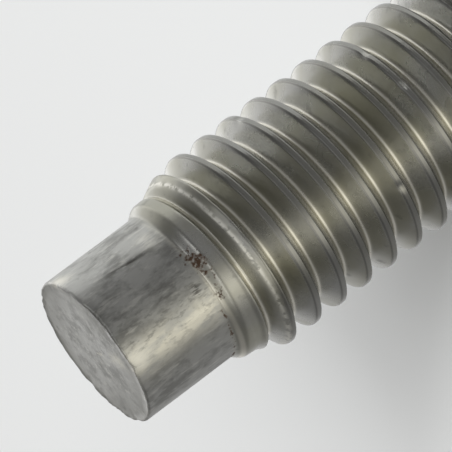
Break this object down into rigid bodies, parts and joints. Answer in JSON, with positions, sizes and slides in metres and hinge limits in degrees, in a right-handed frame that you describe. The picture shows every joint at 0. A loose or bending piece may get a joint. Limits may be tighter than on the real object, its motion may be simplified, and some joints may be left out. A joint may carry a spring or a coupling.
{
  "type": "weld screw",
  "caption": "Projection weld screw: flat round head with weld nibs beneath it, metric threaded shank and a plain cylindrical pilot point.",
  "frame": {"origin": "centre of the head's outer face, which the screw stands on", "axes": "+Z along the screw's axis, from the head to the pilot point; +X and +Y lie in the outer face of the head"},
  "size_m": [0.022, 0.022, 0.0282],
  "materials": {
    "bare_steel": "bare cold-formed steel, worn bright on the crests, drawn streaks on the point"
  },
  "bodies": {
    "root": {"weld_screw": "bare_steel"}
  },
  "joints": []
}
